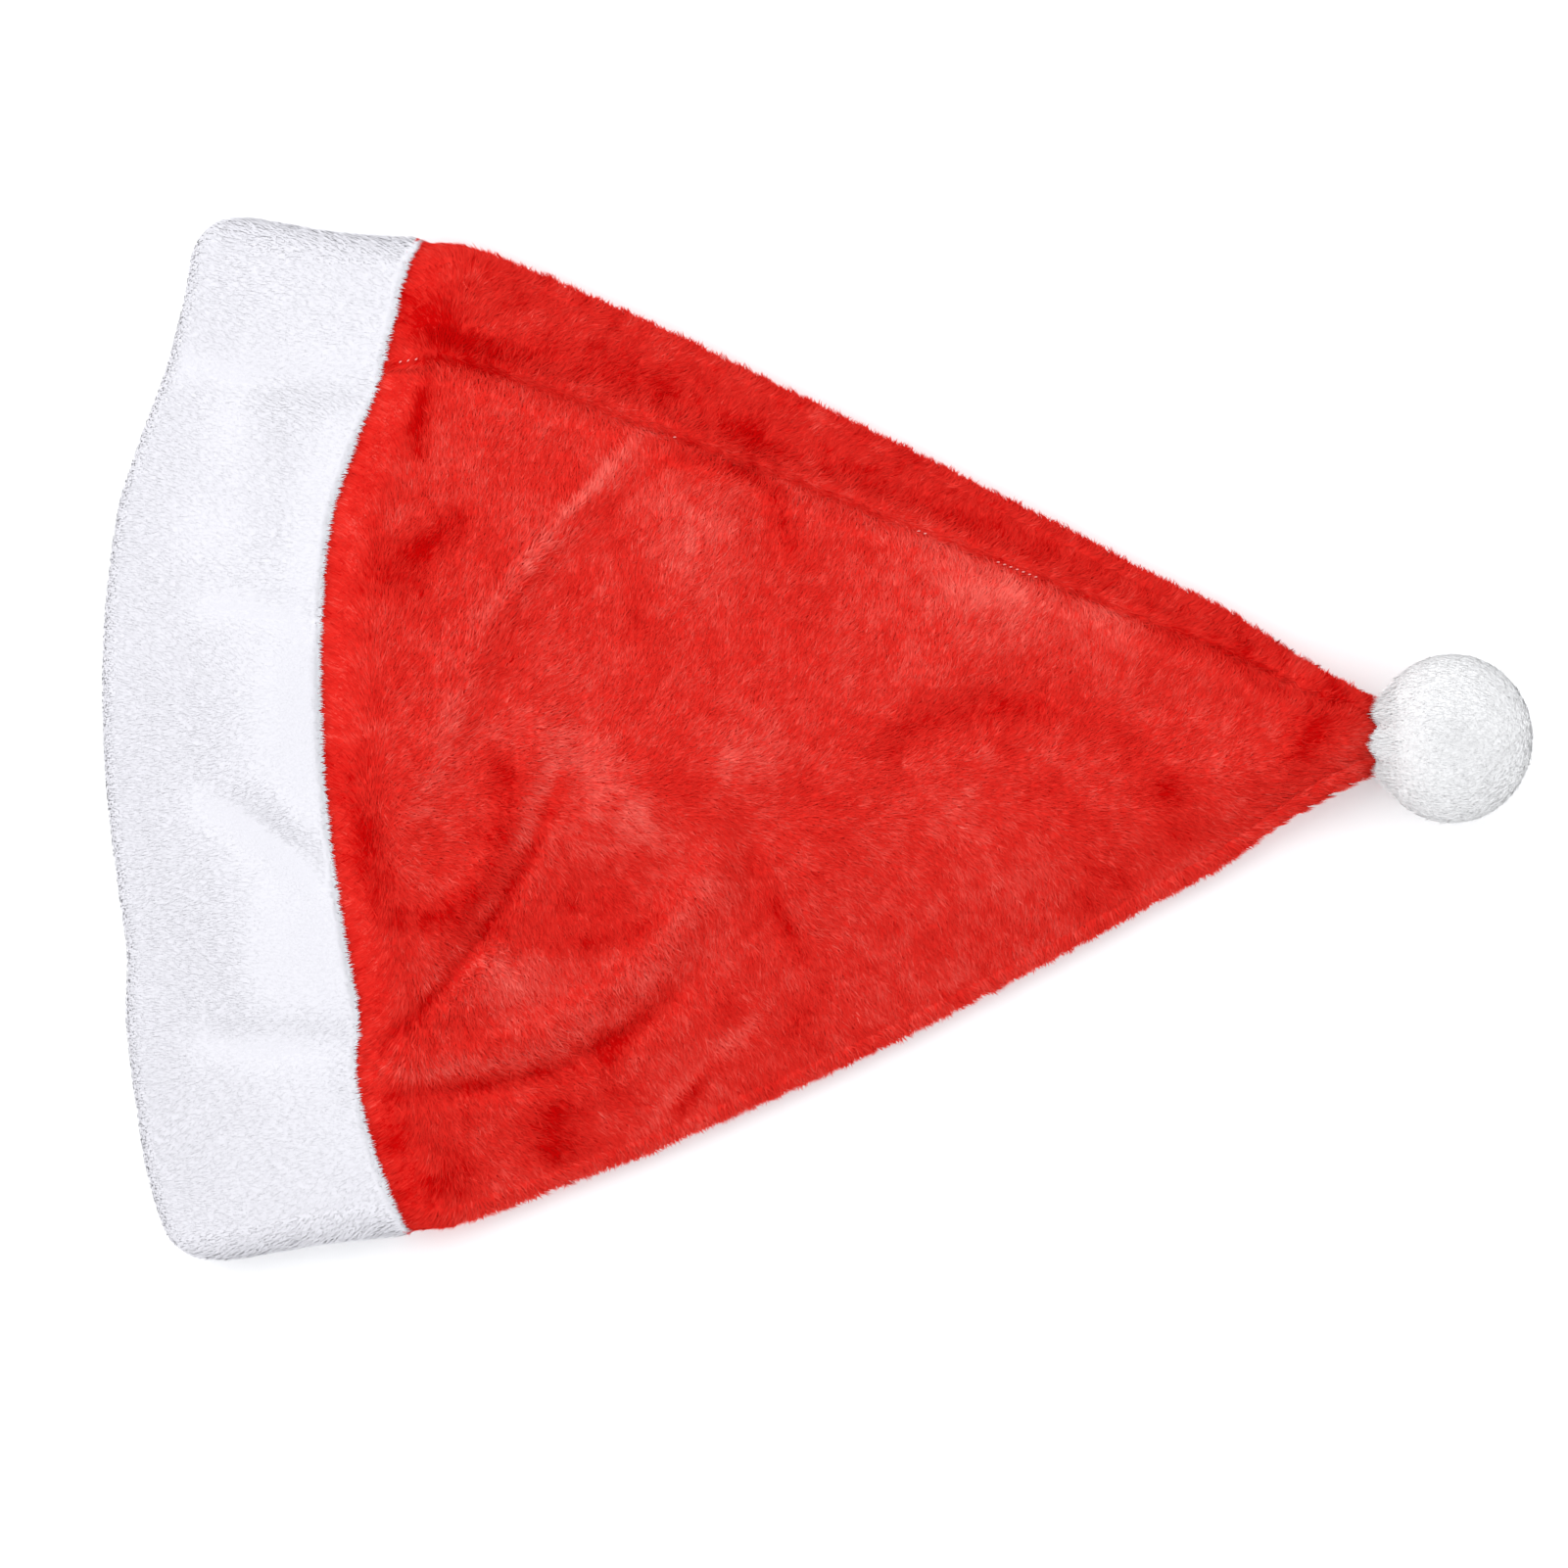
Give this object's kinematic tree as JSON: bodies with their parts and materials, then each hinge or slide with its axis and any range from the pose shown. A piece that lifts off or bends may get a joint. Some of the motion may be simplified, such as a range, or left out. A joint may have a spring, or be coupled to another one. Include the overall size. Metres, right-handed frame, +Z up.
{
  "type": "santa hat",
  "caption": "Soft conical festive hat lying flat, with a red plush crown, a folded white plush cuff and a white pompom at the tip.",
  "frame": {"origin": "on the surface that the hat lies on, under the middle of its overall length and width", "axes": "+X from the cuff to the pompom, +Y across the hat towards the edge beside the crown's seam, +Z up from the surface"},
  "size_m": [0.399, 0.294, 0.0458],
  "materials": {
    "red_plush": "matt short pile plush, bright red",
    "white_plush": "matt short pile plush, white with a faint cool cast",
    "pompom_pile": "matt dense pile, white"
  },
  "bodies": {
    "root": {"crown": "red_plush", "cuff": "white_plush", "pompom": "pompom_pile"}
  },
  "joints": []
}
